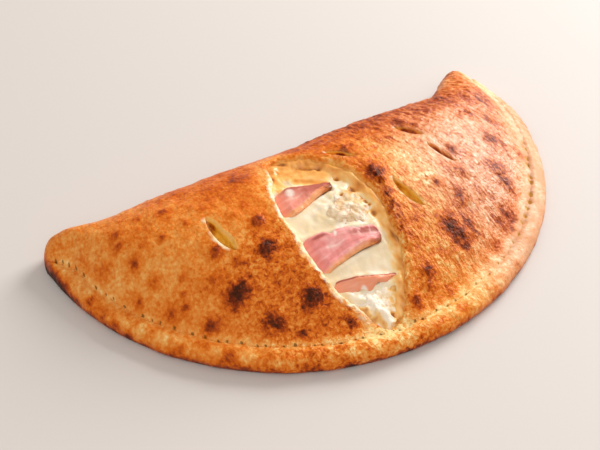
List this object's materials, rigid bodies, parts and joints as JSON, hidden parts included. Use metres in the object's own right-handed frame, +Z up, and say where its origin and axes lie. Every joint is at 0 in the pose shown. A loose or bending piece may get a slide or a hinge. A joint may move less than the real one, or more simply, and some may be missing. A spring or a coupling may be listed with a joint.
{
  "type": "calzone",
  "caption": "Half-moon baked calzone with a rolled, fork-pricked rim and steam slits; a tear across the top shows melted cheese, ham and ricotta.",
  "frame": {"origin": "on the surface that the calzone rests on, under the middle of its bounding box", "axes": "+Z up; +X along the fold, towards the tip with the narrow neck; the fold is at +Y and the rolled rim at -Y"},
  "size_m": [0.3062, 0.174, 0.0468],
  "materials": {
    "crust": "baked golden dough with dark blisters and a light oil sheen",
    "melted_cheese": "smooth, moist melted cheese",
    "ham": "moist cooked ham with a browned rind",
    "ricotta": "crumbly, moist white curd"
  },
  "bodies": {
    "root": {"crust": "crust", "cheese_filling": "melted_cheese", "ham_slice_1": "ham", "ham_slice_2": "ham", "ham_slice_3": "ham", "ricotta_1": "ricotta", "ricotta_2": "ricotta"}
  },
  "joints": []
}
